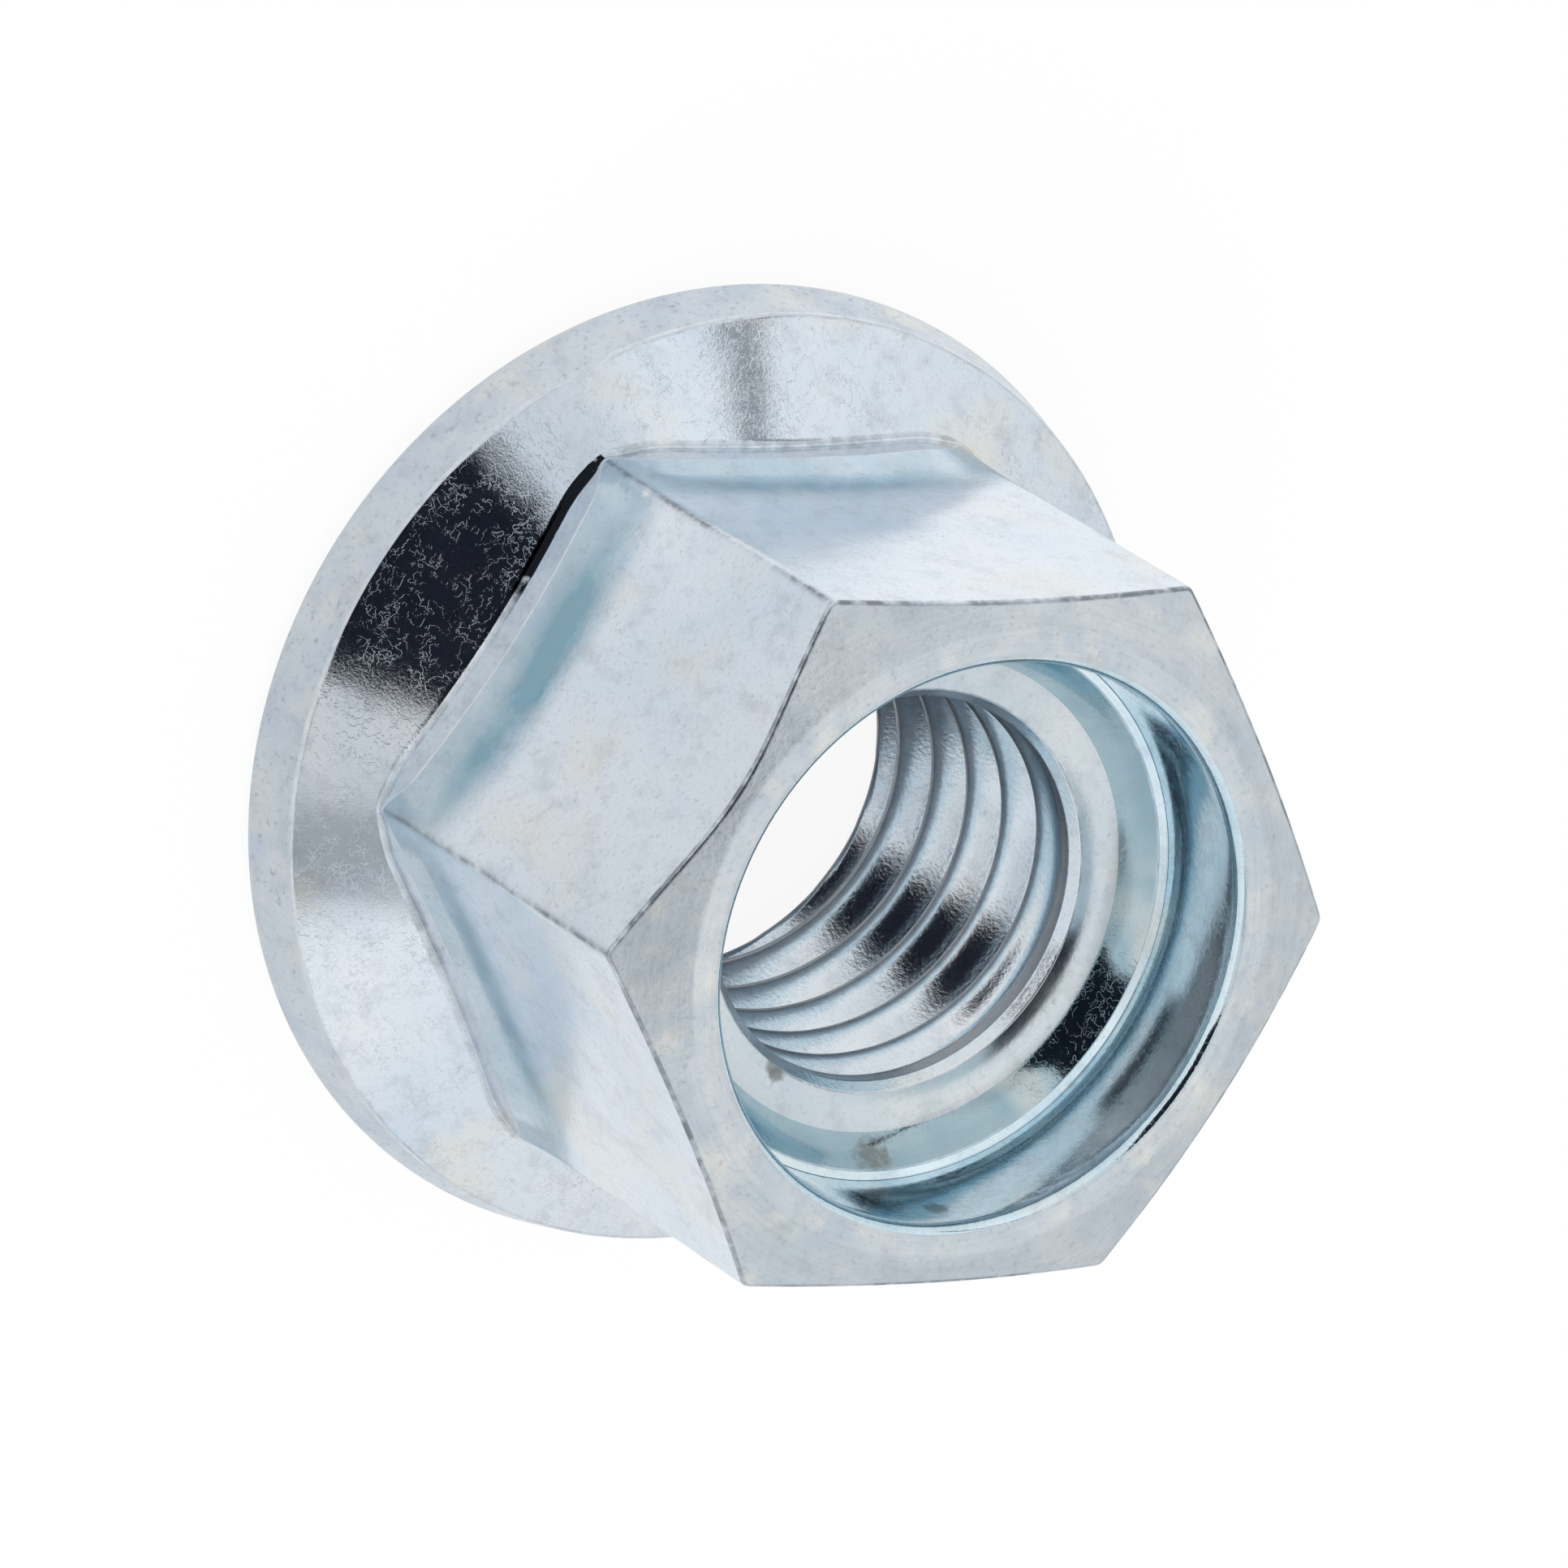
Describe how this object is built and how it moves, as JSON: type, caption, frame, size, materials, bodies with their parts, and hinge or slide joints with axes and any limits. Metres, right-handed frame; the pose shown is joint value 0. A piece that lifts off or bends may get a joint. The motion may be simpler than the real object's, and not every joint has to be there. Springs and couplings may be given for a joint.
{
  "type": "hex flange nut",
  "caption": "Zinc-plated hexagonal flange nut with a coarse right-hand thread and a stepped round recess in its crown.",
  "frame": {"origin": "centre of the bearing face, the flat underside of the flange, on the thread's axis", "axes": "+Z along the thread's axis from the bearing face to the crown; +X through one corner of the hexagon; +Y completes a right-handed frame"},
  "size_m": [0.0212, 0.0212, 0.0133],
  "materials": {
    "zinc_plate": "bright zinc plating with a pale blue passivation"
  },
  "bodies": {
    "root": {"flange_nut": "zinc_plate"}
  },
  "joints": []
}
